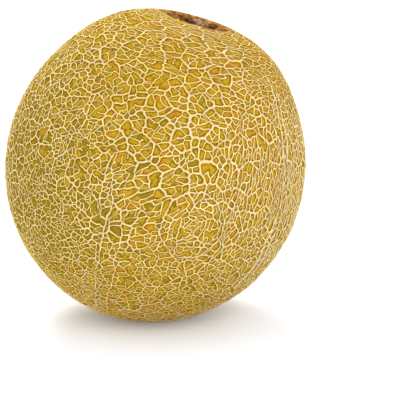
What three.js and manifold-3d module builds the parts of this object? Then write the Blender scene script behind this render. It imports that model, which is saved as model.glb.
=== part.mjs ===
// A netted melon, one grown fruit: a nearly round body a little longer than it is wide, the corky
// hollow where the stem slipped off, the shallow dimple at the blossom end, and the small flat spot
// it rests on. It leans to +X on that spot. Millimetres, +Z up, the floor at z = 0.
import * as THREE from 'three';
import { mergeVertices } from 'three/addons/utils/BufferGeometryUtils.js';
import Module from 'manifold-3d';

const wasm = await Module();
wasm.setup();

// the body
const BODY_WIDTH = 146;
const BODY_LENGTH = 153;
const LEAN_ANGLE = THREE.MathUtils.degToRad(16);

// the full shoulder around the stem end
const SHOULDER_SWELL = 1.7;
const SHOULDER_ANGLE = THREE.MathUtils.degToRad(32);
const SHOULDER_SPREAD = THREE.MathUtils.degToRad(16);

// the hollow left by the stem, the slight flattening round it, and the dimple at the blossom end
const STEM_HOLLOW_WIDTH = 35;
const STEM_HOLLOW_DEPTH = 5;
const STEM_END_FLAT_WIDTH = 56;
const STEM_END_FLAT_DEPTH = 1.2;
const BLOSSOM_DIMPLE_WIDTH = 12;
const BLOSSOM_DIMPLE_DEPTH = 1;

// the flat spot the fruit rests on
const REST_SPOT_WIDTH = 32;

// how finely the skin is drawn, closer rings in the stem hollow
const HOLLOW_RINGS = 8;
const BODY_RINGS = 36;
const SKIN_SEGMENTS = 60;

// 1 at the middle of a hollow, easing down to 0 at its edge
function hollowShare(distance, width) {
  const across = Math.min(distance / (width / 2), 1);
  return (1 - across * across) ** 2;
}

// one point of the skin's profile, at an angle measured from the stem end
function skinPoint(angle) {
  const swell = SHOULDER_SWELL * Math.exp(-(((angle - SHOULDER_ANGLE) / SHOULDER_SPREAD) ** 2));
  const radius = (BODY_WIDTH / 2 + swell) * Math.sin(angle);
  const height = (BODY_LENGTH / 2 + swell) * Math.cos(angle);
  const stemHollow = STEM_HOLLOW_DEPTH * hollowShare(radius, STEM_HOLLOW_WIDTH)
    + STEM_END_FLAT_DEPTH * hollowShare(radius, STEM_END_FLAT_WIDTH);
  const blossomDimple = BLOSSOM_DIMPLE_DEPTH * hollowShare(radius, BLOSSOM_DIMPLE_WIDTH);
  return new THREE.Vector2(radius, height > 0 ? height - stemHollow : height + blossomDimple);
}

// the profile runs from the blossom end, on the axis, up to the stem end, on the axis
const hollowAngle = Math.asin(STEM_HOLLOW_WIDTH / BODY_WIDTH);
const profile = [];
for (let ring = 0; ring < BODY_RINGS; ring += 1) {
  profile.push(skinPoint(Math.PI - (Math.PI - hollowAngle) * ring / BODY_RINGS));
}
for (let ring = 0; ring <= HOLLOW_RINGS; ring += 1) {
  profile.push(skinPoint(hollowAngle * (1 - ring / HOLLOW_RINGS)));
}
profile[0].x = 0;
profile[profile.length - 1].x = 0;

// a closed body for joining and cutting, from a three.js shape
function solidOf(geometry) {
  geometry.deleteAttribute('normal');
  geometry.deleteAttribute('uv');
  const joined = mergeVertices(geometry, 1e-4);
  return new wasm.Manifold(new wasm.Mesh({
    numProp: 3,
    vertProperties: new Float32Array(joined.attributes.position.array),
    triVerts: new Uint32Array(joined.index.array),
  }));
}

// a three.js shape, from a closed body
function geometryOf(solid) {
  const mesh = solid.getMesh();
  const geometry = new THREE.BufferGeometry();
  geometry.setAttribute('position', new THREE.BufferAttribute(new Float32Array(mesh.vertProperties), 3));
  geometry.setIndex(new THREE.BufferAttribute(new Uint32Array(mesh.triVerts), 1));
  geometry.computeVertexNormals();
  return geometry;
}

// the whole fruit turned about its own axis, stood up, then leaned
const skin = new THREE.LatheGeometry(profile, SKIN_SEGMENTS);
skin.rotateX(Math.PI / 2);
skin.rotateY(LEAN_ANGLE);

// the lowest point of a leaned egg of this width and length, below its middle
const lowestPoint = Math.hypot(
  BODY_LENGTH / 2 * Math.cos(LEAN_ANGLE),
  BODY_WIDTH / 2 * Math.sin(LEAN_ANGLE),
);
// how far up the floor cuts, for a spot of the wanted width on a skin this round
const skinRoundness = (BODY_WIDTH / 2) ** 2 / (BODY_LENGTH / 2);
const restSpotCut = skinRoundness - Math.sqrt(skinRoundness ** 2 - (REST_SPOT_WIDTH / 2) ** 2);
const floorLevel = -lowestPoint + restSpotCut;
const restSpotPlace = (BODY_LENGTH ** 2 - BODY_WIDTH ** 2) / 4
  * Math.sin(LEAN_ANGLE) * Math.cos(LEAN_ANGLE) / -lowestPoint;
skin.translate(-restSpotPlace, 0, -floorLevel);

const floorBlock = new THREE.BoxGeometry(BODY_WIDTH, BODY_WIDTH, BODY_WIDTH);
floorBlock.translate(0, 0, -BODY_WIDTH / 2);
const fruit = solidOf(skin).subtract(solidOf(floorBlock));

const melon = new THREE.Mesh(
  geometryOf(fruit),
  new THREE.MeshStandardMaterial({ color: 0xc9a245, roughness: 0.62, metalness: 0 }),
);
melon.name = 'melon';

const part = new THREE.Group();
part.add(melon);

export default part;
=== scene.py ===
import math
import random

import bmesh
import bpy
import numpy as np
from mathutils import Matrix, Vector, noise


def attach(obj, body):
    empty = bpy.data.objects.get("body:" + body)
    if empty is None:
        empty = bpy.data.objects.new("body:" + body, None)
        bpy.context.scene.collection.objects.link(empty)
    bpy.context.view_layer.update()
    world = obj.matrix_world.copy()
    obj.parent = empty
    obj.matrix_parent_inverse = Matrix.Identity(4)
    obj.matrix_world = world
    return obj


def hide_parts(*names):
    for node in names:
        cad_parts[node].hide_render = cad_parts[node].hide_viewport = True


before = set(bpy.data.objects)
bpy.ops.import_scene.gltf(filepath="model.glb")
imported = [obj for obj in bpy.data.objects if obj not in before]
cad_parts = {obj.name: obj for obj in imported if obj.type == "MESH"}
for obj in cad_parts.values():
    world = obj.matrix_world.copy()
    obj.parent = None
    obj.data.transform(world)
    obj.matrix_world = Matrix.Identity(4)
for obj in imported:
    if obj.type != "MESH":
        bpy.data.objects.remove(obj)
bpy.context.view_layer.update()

# ---------------------------------------------------------------- the rind and its net
# The skin of a ripe netted melon: a smooth golden rind that cracked again and again while the fruit
# swelled. Each crack healed over with pale cork, so the cork stands up as one joined net, coarse
# where the skin cracked first and fine where it cracked last. It is all one grown skin.

# the smooth fruit has the sizes of the fixed model, but for a deeper stem hollow, which leaves room
# for the torn cork of the scar
mm = 0.001
body_width = 146 * mm
body_length = 153 * mm
lean_angle = math.radians(16)
shoulder_swell = 1.7 * mm
shoulder_angle = math.radians(32)
shoulder_spread = math.radians(16)
stem_hollow_width = 35 * mm
stem_hollow_depth = 6.5 * mm
stem_end_flat_width = 56 * mm
stem_end_flat_depth = 1.2 * mm
blossom_dimple_width = 12 * mm
blossom_dimple_depth = 1 * mm
rest_spot_width = 32 * mm
scar_rim_width = 34.6 * mm
next_to_nothing = 0.001

draw = random.Random(11)


def towards(longitude, latitude):
    """A direction on the fruit: longitude 0 is the side it leans to, -90 its front; the stem is at 90."""
    turn = math.radians(longitude)
    rise = math.radians(latitude)
    return Vector((math.cos(rise) * math.cos(turn), math.cos(rise) * math.sin(turn), math.sin(rise)))


def near(direction, middle, reach):
    """1 at the middle of a patch of skin, easing to 0 well outside its reach in degrees."""
    away = math.degrees(direction.angle(middle, 0.0))
    return math.exp(-(away / reach) ** 2)


# patches of skin where the meshes of the net have a width of their own: middle, reach, mesh width
mesh_patches = (
    (towards(-92, 14), 22, 4.3 * mm),
    (towards(-84, 62), 20, 4.1 * mm),
    (towards(-105, 40), 22, 3.1 * mm),
    (towards(-62, -4), 20, 3.0 * mm),
    (towards(-42, 25), 22, 3.1 * mm),
    (towards(-132, 2), 24, 2.5 * mm),
    (towards(-168, 8), 22, 3.9 * mm),
    (towards(-172, 52), 18, 3.8 * mm),
    (towards(-126, -38), 28, 2.4 * mm),
    (towards(-76, -5), 6, 2.0 * mm),
    (towards(-99, -14), 4, 6 * mm),
    (towards(-95, -30), 4, 6 * mm),
    (towards(-92, -64), 20, 2.8 * mm),
    (towards(-10, 10), 18, 4.2 * mm),
    (towards(35, 10), 36, 4.0 * mm),
    (towards(95, 5), 50, 4.4 * mm),
    (towards(165, 0), 30, 4.0 * mm),
)
usual_mesh_width = 3.2 * mm
usual_mesh_share = 0.15
mesh_mottle = 0.35
mesh_mottle_scale = 6.0


def wanted_mesh_width(direction):
    """How wide the meshes of the net are on one patch of the skin."""
    total = usual_mesh_share
    width = usual_mesh_share * usual_mesh_width
    for middle, reach, patch_width in mesh_patches:
        share = near(direction, middle, reach)
        total += share
        width += share * patch_width
    mottle = noise.noise(direction * mesh_mottle_scale)
    return width / total * (1 + mesh_mottle * mottle)


# patches of skin whose cracks run one way: middle, reach, which way, how strongly. The way is an
# angle from due east, or None for rings round the patch's own middle.
grain_patches = (
    (towards(0, 90), 34, None, 3.0),
    (towards(0, -90), 42, None, 0.9),
    (towards(-73, -6), 10, None, 1.6),
    (towards(-45, 12), 24, math.radians(88), 1.1),
    (towards(-92, 2), 16, math.radians(35), 0.9),
    (towards(130, 5), 30, math.radians(84), 0.8),
    (towards(30, -10), 26, math.radians(-40), 0.7),
)


def grain(direction, east, north):
    """Which way cracks like to run here, as an angle from east, and how strongly."""
    across = 0.0
    along = 0.0
    for middle, reach, way, strength in grain_patches:
        share = near(direction, middle, reach) * strength
        if way is None:
            outwards = direction - middle
            way = math.atan2(outwards.dot(north), outwards.dot(east)) + math.pi / 2
        across += share * math.cos(2 * way)
        along += share * math.sin(2 * way)
    return math.atan2(along, across) / 2, 1 + math.hypot(across, along)


# patches of skin whose lines are coarser or, under 0, finer than the rest: middle, reach, how much
bold_patches = (
    (towards(-40, 20), 26, 0.22),
    (towards(-145, -10), 45, -0.16),
)


def boldness(direction):
    """How much coarser than usual the lines of the net are here."""
    return sum(coarser * near(direction, middle, reach) for middle, reach, coarser in bold_patches)


def skin_area(cell):
    """The area of one mesh of the net on the grown fruit."""
    return cell.calc_area() * (body_width / 2) * (body_length / 2)


crack_wander = math.radians(26)
crack_off_middle = 0.36
shortest_piece = 0.2


def crack(net, cell, strength):
    """Lets one mesh of the net crack across its long way, and gives back the new mesh."""
    middle = cell.calc_center_median().normalized()
    east = Vector((0, 0, 1)).cross(middle)
    east = east.normalized() if east.length > next_to_nothing else Vector((1, 0, 0))
    north = middle.cross(east)
    way, stretch = grain(middle, east, north)
    along = east * math.cos(way) + north * math.sin(way)
    across = (north * math.cos(way) - east * math.sin(way)) * stretch
    corners = [loop.vert for loop in cell.loops]
    outline = [((c.co - middle).dot(along), (c.co - middle).dot(across)) for c in corners]
    xx = sum(x * x for x, y in outline)
    yy = sum(y * y for x, y in outline)
    xy = sum(x * y for x, y in outline)
    long_way = 0.5 * math.atan2(2 * xy, xx - yy) + draw.gauss(0, crack_wander)
    size = math.sqrt((xx + yy) / len(outline))
    shift = draw.uniform(-crack_off_middle, crack_off_middle) * size
    side = [x * math.cos(long_way) + y * math.sin(long_way) - shift for x, y in outline]
    ends = []
    for start in range(len(corners)):
        after = (start + 1) % len(corners)
        if (side[start] < 0) != (side[after] < 0):
            share = side[start] / (side[start] - side[after])
            ends.append((corners[start], corners[after], share))
    if len(ends) != 2:
        return None
    verts = []
    for first, second, share in ends:
        edge = net.edges.get((first, second))
        share = min(max(share, shortest_piece), 1 - shortest_piece)
        verts.append(bmesh.utils.edge_split(edge, first, share)[1])
    new_cell = bmesh.utils.face_split(cell, verts[0], verts[1])[0]
    net.edges.get(verts)[line_layer] = strength
    return new_cell


corner_catch = 0.004


def crack_along(net, faces, place, facing, strength):
    """Cracks these faces along one flat cut through the ball, and gives back the cut's corners."""
    edges = list({edge for face in faces for edge in face.edges})
    verts = list({vert for face in faces for vert in face.verts})
    cut = bmesh.ops.bisect_plane(net, geom=verts + edges + faces, dist=corner_catch,
                                 plane_co=place, plane_no=facing)["geom_cut"]
    for piece in cut:
        if isinstance(piece, bmesh.types.BMEdge):
            piece[line_layer] = strength
    return [piece for piece in cut if isinstance(piece, bmesh.types.BMVert)]


# the first coarse cracks: a ball of uneven cells
first_crack_wander = 0.06
bpy.ops.object.select_all(action="DESELECT")
bpy.ops.mesh.primitive_ico_sphere_add(subdivisions=4, radius=1)
rind = bpy.context.object
rind.name = "rind"
bpy.ops.object.mode_set(mode="EDIT")
bpy.ops.mesh.select_all(action="SELECT")
bpy.ops.transform.vertex_random(offset=first_crack_wander, uniform=1, normal=0, seed=3)
bpy.ops.transform.tosphere(value=1)
bpy.ops.object.mode_set(mode="OBJECT")
cells = bpy.data.node_groups.new("cells", "GeometryNodeTree")
cells.interface.new_socket("Geometry", in_out="INPUT", socket_type="NodeSocketGeometry")
cells.interface.new_socket("Geometry", in_out="OUTPUT", socket_type="NodeSocketGeometry")
ball_in = cells.nodes.new("NodeGroupInput")
cell_maker = cells.nodes.new("GeometryNodeDualMesh")
cells_out = cells.nodes.new("NodeGroupOutput")
cells.links.new(ball_in.outputs[0], cell_maker.inputs[0])
cells.links.new(cell_maker.outputs[0], cells_out.inputs[0])
rind.modifiers.new("cells", "NODES").node_group = cells
bpy.ops.object.modifier_apply(modifier="cells")

# every line of the net has a strength: near 0 for the finest, 1 for a coarse one, more for the
# few long ones. Every corner has a fade: 1 where a line stops short.
first_line = 0.7
first_line_drift = 0.9
first_line_drift_scale = 3.1
first_line_chance = (-0.35, 0.45)
net = bmesh.new()
net.from_mesh(rind.data)
line_layer = net.edges.layers.float.new("line")
fade_layer = net.verts.layers.float.new("fade")
for edge in net.edges:
    middle = (edge.verts[0].co + edge.verts[1].co) / 2
    drift = first_line_drift * noise.noise(middle * first_line_drift_scale)
    edge[line_layer] = first_line + drift + draw.uniform(*first_line_chance) + boldness(middle)

# the cork lip round the stem scar is a ring in the net
rim_line = 1.5
cap_depth = 0.1
rim_height = math.sqrt(1 - (scar_rim_width / body_width) ** 2)
cap = [face for face in net.faces if face.calc_center_median().z > rim_height - cap_depth]
crack_along(net, cap, (0, 0, rim_height), (0, 0, 1), rim_line)

# a swirl: a ring of coarse line round one spot of the skin
swirl_line = 1.2
swirl_middle = towards(-73, -6)
swirl_reach = math.radians(8.4)
spot = [face for face in net.faces if face.calc_center_median().angle(swirl_middle) < 2 * swirl_reach]
crack_along(net, spot, swirl_middle * math.cos(swirl_reach), swirl_middle, swirl_line)

# long lines that run from end to end: longitude, lowest and highest latitude, strength
long_lines = (
    (-104, -64, 2, 1.2),
    (-107.5, -14, 10, 0.9),
    (-97, -64, -8, 0.6),
    (-35.5, -30, 48, 2.1),
    (-32, -24, 40, 1.7),
    (-27, -20, 30, 1.0),
    (-20, -20, 40, 0.8),
    (-59, -14, 34, 1.3),
    (28, -35, 30, 0.9),
    (84, -20, 45, 0.9),
    (139, -45, 20, 1.0),
    (176, -10, 50, 0.8),
)
long_line_wander = 3.2 * mm
long_line_wander_scale = 9
long_line_wander_shift = 7
strip_half_width = 0.2
for longitude, lowest, highest, strength in long_lines:
    facing = towards(longitude, 0)
    sideways = towards(longitude + 90, 0)
    strip = [face for face in net.faces
             if face.calc_center_median().dot(facing) > 0
             and lowest < math.degrees(math.asin(face.calc_center_median().normalized().z)) < highest
             and abs(face.calc_center_median().dot(sideways)) < strip_half_width]
    for corner in crack_along(net, strip, (0, 0, 0), sideways, strength):
        sway = noise.noise(corner.co * long_line_wander_scale + facing * long_line_wander_shift)
        sway *= long_line_wander / (body_width / 2)
        corner.co = (corner.co + sideways * sway).normalized()

# every cell cracks again until its pieces are as small as the skin there has them
later_line = 0.72
later_line_loss = 0.65
later_line_chance = (-0.2, 0.3)
spared_area_chance = (0.78, 1.85)
waiting = [(cell, 1) for cell in net.faces]
while waiting:
    cell, age = waiting.pop(0)
    middle = cell.calc_center_median().normalized()
    width = wanted_mesh_width(middle)
    if skin_area(cell) < width * width * draw.uniform(*spared_area_chance):
        continue
    strength = later_line * later_line_loss ** age + draw.uniform(*later_line_chance) + boldness(middle)
    new_cell = crack(net, cell, strength)
    if new_cell is not None:
        waiting.append((cell, age + 1))
        waiting.append((new_cell, age + 1))

# long straight stretches bend, and a few fine lines stop short
longest_straight = 2.5 * mm
usual_bend = 0.16
sharpest_bend = 0.22
bend_place = (0.3, 0.7)
strongest_spur = 0.35
shortest_spur = 1.6 * mm
spur_share = 0.22
for edge in list(net.edges):
    length = edge.calc_length() * body_width / 2
    is_spur = edge[line_layer] < strongest_spur and length > shortest_spur and draw.random() < spur_share
    if length < longest_straight and not is_spur:
        continue
    start = edge.verts[0]
    bend_share = max(-sharpest_bend, min(sharpest_bend, draw.gauss(0, usual_bend)))
    bend = start.co.cross(edge.verts[1].co - start.co) * bend_share
    bent = bmesh.utils.edge_split(edge, start, draw.uniform(*bend_place))[1]
    bent.co += bend
    bent[fade_layer] = 1.0 if is_spur else 0.0
net.to_mesh(rind.data)
net.free()

# growth pulls the corners of the net even
bpy.ops.object.mode_set(mode="EDIT")
bpy.ops.mesh.select_all(action="SELECT")
bpy.ops.mesh.vertices_smooth(factor=0.5, repeat=1)
bpy.ops.transform.tosphere(value=1)
bpy.ops.object.mode_set(mode="OBJECT")


def listed(items, name, kind=float, width=1):
    """One value, or a row of them, from each of a mesh's items."""
    values = np.empty(len(items) * width, dtype=kind)
    items.foreach_get(name, values)
    return values if width == 1 else values.reshape(-1, width)


def unit(rows):
    """Each row of an array, made one long."""
    return rows / np.linalg.norm(rows, axis=1)[:, None]


weakest_line = 0.05
strongest_line = 2.0
mesh = rind.data
crest = unit(listed(mesh.vertices, "co", width=3))
crest_fade = listed(mesh.attributes["fade"].data, "value")
edge_line = np.clip(listed(mesh.attributes["line"].data, "value"), weakest_line, strongest_line)
edge_ends = listed(mesh.edges, "vertices", int, 2)
corner_vert = listed(mesh.loops, "vertex_index", int)
corner_edge = listed(mesh.loops, "edge_index", int)
cell_start = listed(mesh.polygons, "loop_start", int)
cell_size = listed(mesh.polygons, "loop_total", int)
mesh.attributes.remove(mesh.attributes["line"])
mesh.attributes.remove(mesh.attributes["fade"])
crest_count = len(crest)
corner_count = len(corner_vert)
cell_count = len(cell_start)

corner_cell = np.repeat(np.arange(cell_count), cell_size)
place_in_cell = np.arange(corner_count) - cell_start[corner_cell]
before = cell_start[corner_cell] + (place_in_cell - 1) % cell_size[corner_cell]
after = cell_start[corner_cell] + (place_in_cell + 1) % cell_size[corner_cell]

# a corner of the net is as coarse as the strongest line through it
crest_line = np.zeros(crest_count)
np.maximum.at(crest_line, edge_ends[:, 0], edge_line)
np.maximum.at(crest_line, edge_ends[:, 1], edge_line)

# the ridge and the floor of each mesh: every cell is inset for the foot of the ridge round it,
# and poked for the middle of the bare rind in it. The mesh then holds the crests, the feet in the
# order of the cells' corners, and the middles, and each gets its place below.
starting_inset = 0.0005
bpy.ops.object.mode_set(mode="EDIT")
bpy.ops.mesh.select_all(action="SELECT")
bpy.ops.mesh.inset(thickness=starting_inset, use_individual=True)
bpy.ops.mesh.poke()
bpy.ops.mesh.select_all(action="DESELECT")
bpy.ops.object.mode_set(mode="OBJECT")

# how wide the ridge is on each side of a line, and so where its foot lies at each corner
coarse_line_half_width = 0.98 * mm
fine_line_half_width = 0.4 * mm
small_cell_scale = 0.6
large_cell_scale = 1.15
foot_wobble = (0.7, 1.25)
furthest_foot = 0.62
steadying = 0.06
here = crest[corner_vert]
cell_middle = np.zeros((cell_count, 3))
np.add.at(cell_middle, corner_cell, here)
cell_middle = unit(cell_middle)
way_back = unit(crest[corner_vert[before]] - here)
way_on = unit(crest[corner_vert[after]] - here)
into_on = np.cross(here, way_on)
into_back = np.cross(here, -way_back)
half_width = fine_line_half_width + (coarse_line_half_width - fine_line_half_width) * edge_line
half_width = half_width / (body_width / 2)
room = np.linalg.norm(cell_middle[corner_cell] - here, axis=1)
cell_room = np.bincount(corner_cell, room) / cell_size
cell_scale = np.sqrt(cell_room * body_width / usual_mesh_width)
cell_scale = np.clip(cell_scale, small_cell_scale, large_cell_scale)
width_on = half_width[corner_edge] * cell_scale[corner_cell]
width_back = half_width[corner_edge[before]] * cell_scale[corner_cell]
dot = np.einsum("ij,ij->i", into_back, into_on)
spread = (1 + steadying) ** 2 - dot * dot
pull_back = ((1 + steadying) * width_back - dot * width_on) / spread
pull_on = ((1 + steadying) * width_on - dot * width_back) / spread
foot_step = into_back * pull_back[:, None] + into_on * pull_on[:, None]
step_length = np.linalg.norm(foot_step, axis=1)
wobble = np.random.default_rng(5).uniform(*foot_wobble, corner_count)
allowed = np.minimum(step_length * wobble, furthest_foot * room)

smallest_triangle = 1e-7


def folded(first, second, third):
    """Which of these triangles on the ball are turned over or have no width left."""
    return np.einsum("ij,ij->i", np.cross(second - first, third - first), first) < smallest_triangle


# a foot that would fold its ridge over, or cross the foot beside it, draws back a little at a time,
# and a middle that is too near a ridge moves away from it
draw_back = 0.75
draw_back_rounds = 12
clear_width = 0.12 * mm
clear_share = 0.15
least_clearance = np.minimum(clear_width / (body_width / 2), clear_share * cell_room)[corner_cell]
next_crest = crest[corner_vert[after]]
middle_shift = np.zeros((cell_count, 3))
for attempt in range(draw_back_rounds):
    foot = unit(here + foot_step * (allowed / step_length)[:, None])
    next_foot = foot[after]
    cell_middle = np.zeros((cell_count, 3))
    np.add.at(cell_middle, corner_cell, foot)
    cell_middle = unit(unit(cell_middle) + middle_shift)
    inwards = np.cross(foot, unit(next_foot - foot))
    is_folded = folded(here, next_crest, next_foot) | folded(here, next_foot, foot)
    is_folded |= folded(foot, next_foot, cell_middle[corner_cell])
    allowed[is_folded] *= draw_back
    allowed[after[is_folded]] *= draw_back
    clearance = np.einsum("ij,ij->i", cell_middle[corner_cell] - foot, inwards)
    short_of = np.clip(least_clearance - clearance, 0, None)
    push = np.zeros((cell_count, 3))
    np.add.at(push, corner_cell, inwards * short_of[:, None])
    middle_shift += push / np.maximum(np.bincount(corner_cell, short_of > 0), 1)[:, None]

directions = np.vstack((crest, foot, cell_middle))


def hollow_share(distance, width):
    """1 at the middle of a hollow in the skin, easing to 0 at its edge."""
    across = np.minimum(distance / (width / 2), 1)
    return (1 - across ** 2) ** 2


def grown_skin(directions):
    """The place on the smooth skin for each direction from the fruit's middle, stem upwards."""
    angle = np.arccos(np.clip(directions[:, 2], -1, 1))
    swell = shoulder_swell * np.exp(-((angle - shoulder_angle) / shoulder_spread) ** 2)
    places = directions * (body_width / 2 + swell)[:, None]
    places[:, 2] = directions[:, 2] * (body_length / 2 + swell)
    radius = np.hypot(places[:, 0], places[:, 1])
    stem_end = directions[:, 2] > 0
    hollow = stem_hollow_depth * hollow_share(radius, stem_hollow_width)
    hollow += stem_end_flat_depth * hollow_share(radius, stem_end_flat_width)
    dimple = blossom_dimple_depth * hollow_share(radius, blossom_dimple_width)
    places[:, 2] += np.where(stem_end, -hollow, dimple)
    return places


# the fruit leans on its flat spot, as the fixed model does
lowest_point = math.hypot(body_length / 2 * math.cos(lean_angle), body_width / 2 * math.sin(lean_angle))
skin_roundness = (body_width / 2) ** 2 / (body_length / 2)
rest_spot_cut = skin_roundness - math.sqrt(skin_roundness ** 2 - (rest_spot_width / 2) ** 2)
floor_level = -lowest_point + rest_spot_cut
rest_spot_place = ((body_length ** 2 - body_width ** 2) / 4
                   * math.sin(lean_angle) * math.cos(lean_angle) / -lowest_point)
lean = np.array(Matrix.Rotation(lean_angle, 3, "Y"))
fruit_place = np.array((-rest_spot_place, 0, -floor_level))


def set_down(places, least_height):
    """Leans grown places over, sets them on the floor and flattens what would sink into it."""
    placed = places @ lean.T + fruit_place
    placed[:, 2] = np.maximum(placed[:, 2], least_height)
    return placed


def put_corners(piece, places):
    """Moves every corner of a piece to its own place."""
    piece.data.vertices.foreach_set("co", places.ravel())
    piece.data.update()


# the crests stand up from the skin, lower at the stem end, and the floors of the meshes bulge a
# little. The skin under the stem scar has no net and sinks, to make room for the scar.
coarse_line_height = 0.44 * mm
fine_line_height = 0.2 * mm
height_chance = (0.82, 1.15)
stem_end_loss = 0.4
mesh_bulge = 0.1 * mm
bare_half_width = 16.8 * mm
bare_edge_width = 0.8 * mm
scar_room = 3.5 * mm
resting_crest_height = 0.2 * mm
skin_off_floor = 0.35 * mm
crest_height = fine_line_height + (coarse_line_height - fine_line_height) * crest_line
crest_height = crest_height * np.random.default_rng(9).uniform(*height_chance, crest_count)
crest_height *= 1 - crest_fade
crest_scale = np.bincount(corner_vert, cell_scale[corner_cell]) / np.bincount(corner_vert)
crest_height *= crest_scale * (1 - stem_end_loss * np.clip(crest[:, 2], 0, 1) ** 2)
at_stem_end = directions[:, 2] > 0
from_axis = np.hypot(directions[:, 0], directions[:, 1])
stem_distance = from_axis * body_width / 2
bare = at_stem_end * np.clip((bare_half_width - stem_distance) / bare_edge_width, 0, 1)
rise = np.concatenate((crest_height, np.zeros(corner_count), np.full(cell_count, mesh_bulge)))
rise = rise * (1 - bare) - scar_room * bare
outwards = unit(directions / np.array((body_width, body_width, body_length)))
lifted = grown_skin(directions) + outwards * rise[:, None]
put_corners(rind, set_down(lifted, np.where(rise > resting_crest_height, 0.0, skin_off_floor)))

# patches of bare rind that are warmer or, under 0, greener than the rest: middle, reach, how much
warmer_patches = (
    (towards(-75, 60), 22, 0.22),
    (towards(-45, 38), 22, 0.16),
    (towards(-98, -30), 9, 0.25),
    (towards(-96, -55), 20, 0.42),
    (towards(-62, -12), 12, 0.12),
    # these two greener patches also darken the left and lower left: partly the rind's own olive, partly
    # painted shade on that side
    (towards(-160, -5), 36, -0.32),
    (towards(-126, -28), 32, -0.4),
    (towards(60, 50), 35, 0.15),
    (towards(100, -20), 40, -0.12),
)

# patches of cork that are paler or, under 0, more golden than the rest: middle, reach, how much
paler_patches = (
    (towards(-38, 15), 34, 0.8),
    (towards(-80, -5), 20, 0.35),
    (towards(120, 10), 40, 0.6),
    # the golden patch at the lower end turns the cork there to bright honey: partly the cork's own warmer
    # colour, partly painted warm light on the underside
    (towards(-98, -62), 24, -1.0),
    (towards(-90, 78), 9, 0.9),
    (towards(-155, 5), 42, 0.75),
    (towards(2, 10), 26, 0.7),
)


def patchy(ways, patches):
    """What all of these patches add up to at each direction on the fruit."""
    total = np.zeros(len(ways))
    for middle, reach, amount in patches:
        away = np.degrees(np.arccos(np.clip(ways @ np.array(middle), -1, 1)))
        total += amount * np.exp(-(away / reach) ** 2)
    return total


def store(piece, name, values):
    """Keeps one value for each corner of a piece, for its material to read."""
    attribute = piece.data.attributes.new(name, "FLOAT", "POINT")
    attribute.data.foreach_set("value", values.astype(np.float32))


# what the colours go by. The net runs from 1 on a crest through 0 at its foot to -1 in the middle
# of a wide mesh, and falls away where a line stops short. The fall from foot to middle sets the
# painted shade beside the ridges; small meshes stop short of -1, so their floors take more of it.
# Next come how coarse the line is and the tint of each mesh and crest. Last is the dead skin round
# the scar, most of it at the back.
widest_shading = 2.2 * mm
least_shading = 0.15
usual_tint = 0.5
tint_chance = 0.13
faded_crest = 1.7
faded_foot = 0.7
dead_skin_half_width = 21 * mm
dead_skin_fading = 3 * mm
dead_at_side = 0.65
dead_at_back = 0.35
away_from_net = np.clip(cell_room * body_width / 2 / widest_shading, least_shading, 1)
net_share = np.concatenate((1 - faded_crest * crest_fade, -faded_foot * crest_fade[corner_vert],
                            -away_from_net))
foot_line = (edge_line[corner_edge] + edge_line[corner_edge[before]]) / 2
line_share = np.concatenate((crest_line, foot_line, np.zeros(cell_count)))
cell_tint = np.random.default_rng(21).normal(usual_tint, tint_chance, cell_count)
cell_tint += patchy(cell_middle, warmer_patches)
tint_share = np.concatenate((patchy(crest, paler_patches), cell_tint[corner_cell], cell_tint))
to_the_back = directions[:, 1] / np.maximum(from_axis, next_to_nothing)
dead_share = np.clip((dead_skin_half_width - stem_distance) / dead_skin_fading, 0, 1)
dead_share *= at_stem_end * np.clip(dead_at_side + dead_at_back * to_the_back, 0, 1)
store(rind, "net", net_share)
store(rind, "line", line_share)
store(rind, "tint", tint_share)
store(rind, "scar", dead_share)

# the flat pattern of the skin: six patches, like the sides of a box blown up round the fruit.
# Each has the axis it faces along, which end of it, and which way round it is laid out.
box_sides = ((0, 1, 1), (0, -1, -1), (1, 1, -1), (1, -1, 1), (2, 1, 1), (2, -1, 1))
sides_in_row = 3
side_rows = 2
side_fill = 0.9
quarter_turn = math.pi / 2
face_of_corner = np.repeat(np.arange(len(mesh.polygons)), listed(mesh.polygons, "loop_total", int))
corner_way = directions[listed(mesh.loops, "vertex_index", int)]
face_way = np.zeros((len(mesh.polygons), 3))
np.add.at(face_way, face_of_corner, corner_way)
widest = np.abs(face_way).argmax(axis=1)
is_positive = face_way[np.arange(len(face_way)), widest] > 0
flat_place = np.zeros((len(mesh.loops), 2))
for index, (axis, side, hand) in enumerate(box_sides):
    on_side = ((widest == axis) & (is_positive == (side > 0)))[face_of_corner]
    across_axis, up_axis = ((1, 2), (0, 2), (0, 1))[axis]
    up_hand = side if axis == 2 else 1
    outward = corner_way[on_side, axis] * side
    across_angle = np.arctan2(corner_way[on_side, across_axis] * hand, outward)
    up_angle = np.arctan2(corner_way[on_side, up_axis] * up_hand, outward)
    column = index % sides_in_row + 0.5
    row = index // sides_in_row + 0.5
    flat_place[on_side, 0] = (column + across_angle / quarter_turn * side_fill) / sides_in_row
    flat_place[on_side, 1] = (row + up_angle / quarter_turn * side_fill) / side_rows
skin_pattern = mesh.uv_layers.new(name="OFBake")
skin_pattern.data.foreach_set("uv", flat_place.ravel())
bpy.ops.object.shade_smooth()


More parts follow.
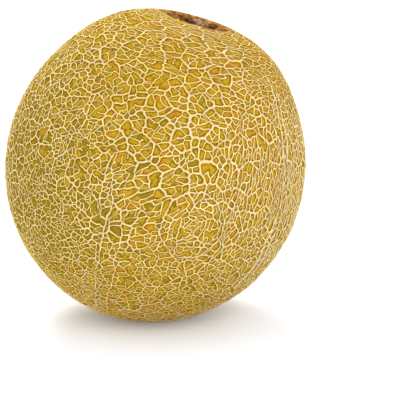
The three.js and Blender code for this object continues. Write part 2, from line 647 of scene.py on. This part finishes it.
class Shade:
    """A material socket that can be reckoned with like a number."""

    def __init__(self, tree, socket):
        self.tree = tree
        self.socket = socket

    def node(self, kind, settings, inputs, output=0):
        """Adds a node, its settings first, then the values or links of its sockets."""
        node = self.tree.nodes.new(kind)
        for name, value in settings.items():
            setattr(node, name, value)
        for name, value in inputs.items():
            if isinstance(value, Shade):
                self.tree.links.new(value.socket, node.inputs[name])
            else:
                node.inputs[name].default_value = value
        return Shade(self.tree, node.outputs[output])

    def math(self, operation, first, second):
        return self.node("ShaderNodeMath", {"operation": operation}, {0: first, 1: second})

    def __add__(self, other):
        return self.math("ADD", self, other)

    def __radd__(self, other):
        return self.math("ADD", other, self)

    def __sub__(self, other):
        return self.math("SUBTRACT", self, other)

    def __rsub__(self, other):
        return self.math("SUBTRACT", other, self)

    def __mul__(self, other):
        return self.math("MULTIPLY", self, other)

    def __rmul__(self, other):
        return self.math("MULTIPLY", other, self)

    def ramp(self, low, high):
        """0 below low, 1 above high, eased between."""
        return self.node("ShaderNodeMapRange", {"interpolation_type": "SMOOTHSTEP"},
                         {"Value": self, "From Min": low, "From Max": high})

    def mix(self, first, second):
        """The first colour where this is 0, the second where it is 1."""
        return self.node("ShaderNodeMix", {"data_type": "RGBA"}, {0: self, 6: first, 7: second}, 2)


def new_material(name, roughness, gloss):
    """An empty surface, the shader node to plug into, and the place on the object."""
    material = bpy.data.materials.new(name)
    material.use_nodes = True
    tree = material.node_tree
    shader = tree.nodes["Principled BSDF"]
    shader.inputs["Roughness"].default_value = roughness
    shader.inputs["Specular IOR Level"].default_value = gloss
    where = Shade(tree, tree.nodes.new("ShaderNodeTexCoord").outputs["Object"])
    return material, shader, where


def speckle(where, size, detail=2.0):
    """An even random pattern from 0 to 1 whose spots are about this size."""
    return where.node("ShaderNodeTexNoise", {}, {"Vector": where, "Scale": 1 / size, "Detail": detail})


def read(where, name):
    """A value stored on the piece."""
    return where.node("ShaderNodeAttribute", {"attribute_name": name}, {}, "Fac")


def bumps(height, strength, depth):
    """A surface that this pattern roughens."""
    return height.node("ShaderNodeBump", {}, {"Strength": strength, "Distance": depth, "Height": height})


def connect(shader, name, value):
    """Plugs a reckoned value into the shader."""
    value.tree.links.new(value.socket, shader.inputs[name])


# the bare rind in the meshes
golden = (0.46, 0.27, 0.011, 1)
olive = (0.235, 0.158, 0.011, 1)
amber = (0.43, 0.17, 0.013, 1)
# painted shade: the dark olive the bare rind turns to beside the ridges
painted_ridge_shade = (0.14, 0.085, 0.004, 1)

# the cork of the net
cream = (0.84, 0.64, 0.24, 1)
straw = (0.72, 0.50, 0.15, 1)
pale_cork = (0.88, 0.71, 0.42, 1)
honey_and_warm_light = (0.95, 0.60, 0.12, 1)
grey_cork = (0.70, 0.56, 0.32, 1)
worn_cork = (0.42, 0.26, 0.07, 1)
shaded_cork_side = (0.40, 0.25, 0.04, 1)

# the dead skin round the scar
dry_brown = (0.24, 0.10, 0.02, 1)
dry_tan = (0.50, 0.28, 0.06, 1)

netted_rind, shader, where = new_material("netted rind", 0.5, 0.0)
up_the_ridge = read(where, "net")
coarseness = read(where, "line")
tint = read(where, "tint")

# where the cork is: its edge frays, and the coarsest lines spread
fraying = (speckle(where, 0.9 * mm, 3) - 0.5) * 0.5
frayed = up_the_ridge + fraying + coarseness.ramp(1.1, 2.1) * 0.24
is_cork = frayed.ramp(0.36, 0.56)

# the bare rind is olive to golden to amber from mesh to mesh, with patchy painted shade beside the
# ridges, most of it in small meshes
warmth = tint * 0.5 + speckle(where, 2.2 * mm, 3) * 0.9 - 0.2
bare_rind = warmth.ramp(0.5, 0.34).mix(golden, olive)
bare_rind = warmth.ramp(0.52, 0.72).mix(bare_rind, amber)
shaded = up_the_ridge.ramp(-0.55, 0.15) * (speckle(where, 2.6 * mm, 2).ramp(0.34, 0.6) * 0.6 + 0.38)
bare_rind = shaded.mix(bare_rind, painted_ridge_shade)

# the cork is cream to straw, paler, more golden or greyer in places, with dark worn specks, and
# the sides of its ridges carry painted shade
cork = speckle(where, 4 * mm, 3).ramp(0.35, 0.62).mix(cream, straw)
cork = (tint * speckle(where, 6 * mm).ramp(0.25, 0.55)).mix(cork, pale_cork)
# bright honey cork at the lower end: partly warmer cork, partly painted warm light
cork = (tint.ramp(-0.1, -0.9) * 0.9).mix(cork, honey_and_warm_light)
cork = (coarseness.ramp(0.4, 0.9) * speckle(where, 7 * mm).ramp(0.3, 0.6)).mix(cork, grey_cork)
cork = (speckle(where, 0.9 * mm, 3).ramp(0.45, 0.7) * 0.6).mix(cork, worn_cork)
# painted shade down the sides of each ridge, at the edge of the cork
cork = frayed.ramp(0.78, 0.42).mix(cork, shaded_cork_side)

skin = is_cork.mix(bare_rind, cork)
dead_skin = speckle(where, 3 * mm, 3).ramp(0.35, 0.65).mix(dry_brown, dry_tan)
is_dead = (read(where, "scar") + (speckle(where, 2.5 * mm, 3) - 0.5) * 0.8).ramp(0.35, 0.8)
connect(shader, "Base Color", is_dead.mix(skin, dead_skin))
connect(shader, "Roughness", is_cork * 0.3 + 0.5)
grit = speckle(where, 0.7 * mm, 3) * is_cork + speckle(where, 1.6 * mm) * 0.3
connect(shader, "Normal", bumps(grit, 0.6, 0.25 * mm))
rind.data.materials.append(netted_rind)

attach(rind, "root")
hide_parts("melon")

# ---------------------------------------------------------------- the stem scar
# When the melon was ripe its stem slipped off and left this torn brown cork in the hollow: a lumpy
# plug where the stem sat, a dark groove round it, a pit beside it, and a rough wall up to the net.

scar_half_width = 17.6 * mm
scar_dish_depth = 4.3 * mm
scar_dish_steepness = 1.2
scar_thickness = 3 * mm
scar_edge_drop = 1.8 * mm
scar_edge_share = 1 / 8
plug_middle = (1 * mm, 7 * mm)
plug_half_width = 5 * mm
plug_height = 2.2 * mm
plug_raggedness = 0.6 * mm
plug_ragged_size = 8 * mm
groove_width = 2.4 * mm
groove_depth = 0.9 * mm
groove_shade_share = 0.7
pit_middle = (-4 * mm, 3 * mm)
pit_half_width = 4 * mm
pit_depth = 0.8 * mm
coarse_lump_size = 4.5 * mm
coarse_lump_height = 0.55 * mm
fine_lump_size = 1.6 * mm
fine_lump_height = 0.25 * mm
fine_lump_shade_share = 0.6
plug_smoothing = 0.55
calm_edge_share = 1 / 4
least_lumpiness = 0.3

bpy.ops.object.select_all(action="DESELECT")
bpy.ops.mesh.primitive_ico_sphere_add(subdivisions=6, radius=scar_half_width)
stem_scar = bpy.context.object
stem_scar.name = "stem_scar"


def lumps(places, size, seed):
    """Rough torn lumps of about this size, around 0 and mostly from -1 to 1."""
    shift = Vector((seed, 0, 0))
    rough = np.array([noise.turbulence(Vector(place) / size + shift, 3, True) for place in places])
    return (rough - rough.mean()) / rough.std()


def bare_end(distance):
    """How high the fruit's end stands at a distance from its axis, with no hollow in it."""
    return body_length / 2 * np.sqrt(1 - (distance / (body_width / 2)) ** 2)


# the ball is pressed to a thin dish whose top takes the shape of the torn cork
ball = listed(stem_scar.data.vertices, "co", width=3)
spread_out = ball * np.array((1, 1, 0))
distance = np.hypot(ball[:, 0], ball[:, 1])
across = np.clip(distance / scar_half_width, 0, 1)
from_plug = np.hypot(ball[:, 0] - plug_middle[0], ball[:, 1] - plug_middle[1])
from_plug += plug_raggedness * lumps(spread_out, plug_ragged_size, 4)
plug = np.clip(1 - (from_plug / plug_half_width) ** 4, 0, 1)
groove = np.exp(-((from_plug - plug_half_width - groove_width / 2) / groove_width) ** 2)
from_pit = np.hypot(ball[:, 0] - pit_middle[0], ball[:, 1] - pit_middle[1])
pit = np.exp(-(from_pit / pit_half_width) ** 2)
edge = np.clip((distance / scar_half_width - 1) / scar_edge_share + 1, 0, 1) ** 2
coarse_lumps = lumps(spread_out, coarse_lump_size, 1)
fine_lumps = lumps(spread_out, fine_lump_size, 2)
top = bare_end(distance) - stem_end_flat_depth * hollow_share(distance, stem_end_flat_width)
top -= scar_dish_depth * (1 - across ** 2) ** scar_dish_steepness
top += plug_height * plug - groove_depth * groove - pit_depth * pit - scar_edge_drop * edge
lump_rise = coarse_lump_height * coarse_lumps * (1 - plug_smoothing * plug)
lump_rise = (lump_rise + fine_lump_height * fine_lumps) * (1 - edge)
top += lump_rise * np.clip((1 - across) / calm_edge_share, least_lumpiness, 1)
sunk = scar_thickness * np.clip(-ball[:, 2] / scar_half_width, 0, 1)
put_corners(stem_scar, set_down(np.column_stack((ball[:, 0], ball[:, 1], top - sunk)), 0))
store(stem_scar, "plug", plug)
# how much painted shade the groove and the pit take
store(stem_scar, "groove", np.maximum(groove * groove_shade_share, pit))
# the low places between the lumps take painted shade
store(stem_scar, "lump", coarse_lumps + fine_lumps * fine_lump_shade_share)
bpy.ops.object.shade_smooth()

bark_brown = (0.10, 0.036, 0.008, 1)
rust = (0.36, 0.145, 0.02, 1)
pinkish_tan = (0.40, 0.24, 0.14, 1)
# painted shade for the cracks, the groove and the pit
crevice_shade = (0.02, 0.008, 0.002, 1)
moss = (0.33, 0.29, 0.12, 1)

# rust and bark brown, tan and mossy on the plug, with painted shade near black in the cracks
# between the lumps, the groove and the pit
torn_cork, shader, where = new_material("torn cork", 0.85, 0.1)
on_plug = read(where, "plug")
torn = speckle(where, 4 * mm).ramp(0.35, 0.65).mix(bark_brown, rust)
torn = (on_plug * speckle(where, 2 * mm).ramp(0.3, 0.6)).mix(torn, pinkish_tan)
torn = (on_plug * speckle(where, 5 * mm).ramp(0.5, 0.65)).mix(torn, moss)
# painted shade in the low places between the lumps
torn = (read(where, "lump").ramp(-0.2, -1.4) * 0.8).mix(torn, crevice_shade)
# painted shade in the groove and the pit
torn = (read(where, "groove").ramp(0.1, 0.7) * 0.95).mix(torn, crevice_shade)
connect(shader, "Base Color", torn)
connect(shader, "Normal", bumps(speckle(where, 0.8 * mm, 3), 0.7, 0.3 * mm))
stem_scar.data.materials.append(torn_cork)

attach(stem_scar, "root")
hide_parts("melon")

# ---------------------------------------------------------------- the blossom scar
# The flower dried up at the lower end and left a small round button of rough cork in a shallow
# dimple, just clear of the floor. It is the same torn cork as the stem scar.

button_half_width = 3.7 * mm
button_thickness = 1.6 * mm
button_ring_height = 0.25 * mm
button_ring_place = 0.65
button_ring_width = 0.25
button_lump_size = 2 * mm
button_lump_height = 0.08 * mm
button_off_floor = 0.1 * mm

bpy.ops.object.select_all(action="DESELECT")
bpy.ops.mesh.primitive_ico_sphere_add(subdivisions=5, radius=button_half_width)
blossom_scar = bpy.context.object
blossom_scar.name = "blossom_scar"
ball = listed(blossom_scar.data.vertices, "co", width=3)
distance = np.hypot(ball[:, 0], ball[:, 1])
ring = np.exp(-((distance / button_half_width - button_ring_place) / button_ring_width) ** 2)
coarse_lumps = lumps(ball * np.array((1, 1, 0)), button_lump_size, 5)
skin_level = -bare_end(distance) + blossom_dimple_depth * hollow_share(distance, blossom_dimple_width)
thick = ball[:, 2] / button_half_width * button_thickness / 2
sticking_out = (ball[:, 2] < 0) * (button_lump_height * coarse_lumps + button_ring_height * ring)
button_places = np.column_stack((ball[:, 0], ball[:, 1], skin_level + thick - sticking_out))
put_corners(blossom_scar, set_down(button_places, button_off_floor))
store(blossom_scar, "plug", ring)
store(blossom_scar, "groove", np.zeros(len(ring)))
# the button's low places take the same painted shade as the stem scar's cracks
store(blossom_scar, "lump", coarse_lumps)
bpy.ops.object.shade_smooth()
blossom_scar.data.materials.append(torn_cork)

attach(blossom_scar, "root")
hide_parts("melon")

# ---------------------------------------------------------------- the floor, the light and the view
# A white sweep under soft studio light, seen a little from above. The floor is a little blue,
# which takes back the gold that the fruit throws on it.

white_sweep = (0.86, 0.89, 0.96, 1)
white = (1, 1, 1, 1)
sweep_width = 6
sweep_glow = 0.12
studio_brightness = 1.05

bpy.ops.object.select_all(action="DESELECT")
bpy.ops.mesh.primitive_plane_add(size=sweep_width)
floor = bpy.context.object
floor.name = "floor"
floor_material, shader, where = new_material("white floor", 0.9, 0.1)
shader.inputs["Base Color"].default_value = white_sweep
shader.inputs["Emission Color"].default_value = white
shader.inputs["Emission Strength"].default_value = sweep_glow
floor.data.materials.append(floor_material)

scene = bpy.context.scene
scene.view_settings.view_transform = "Standard"
world = bpy.data.worlds.new("studio")
world.use_nodes = True
world.node_tree.nodes["Background"].inputs["Color"].default_value = white
world.node_tree.nodes["Background"].inputs["Strength"].default_value = studio_brightness
scene.world = world


def soft_light(name, place, size, power):
    """A square studio light that faces the middle of the fruit."""
    lamp = bpy.data.lights.new(name, "AREA")
    lamp.shape = "SQUARE"
    lamp.size = size
    lamp.energy = power
    holder = bpy.data.objects.new(name, lamp)
    holder.location = place
    holder.rotation_euler = (fruit_middle - Vector(place)).to_track_quat("-Z", "Y").to_euler()
    scene.collection.objects.link(holder)


fruit_middle = Vector((0, 0, 0.076))
soft_light("overhead light", (-0.3, 1.0, 1.05), 0.7, 17)
soft_light("front light", (0.55, -1.15, 0.8), 1.0, 8)
soft_light("low light", (-0.5, -1.2, 0.15), 0.8, 2.4)

camera_rise = math.radians(13)
camera_distance = 0.9
camera_aim = Vector((0.0236, -0.0041, 0.0583))
view_width = 0.1962
sensor_width = 36
camera_data = bpy.data.cameras.new("camera")
camera_data.sensor_width = sensor_width
camera_data.lens = sensor_width * camera_distance / view_width
camera = bpy.data.objects.new("camera", camera_data)
camera.location = camera_aim + camera_distance * Vector((0, -math.cos(camera_rise), math.sin(camera_rise)))
camera.rotation_euler = (math.pi / 2 - camera_rise, 0, 0)
scene.collection.objects.link(camera)
scene.camera = camera
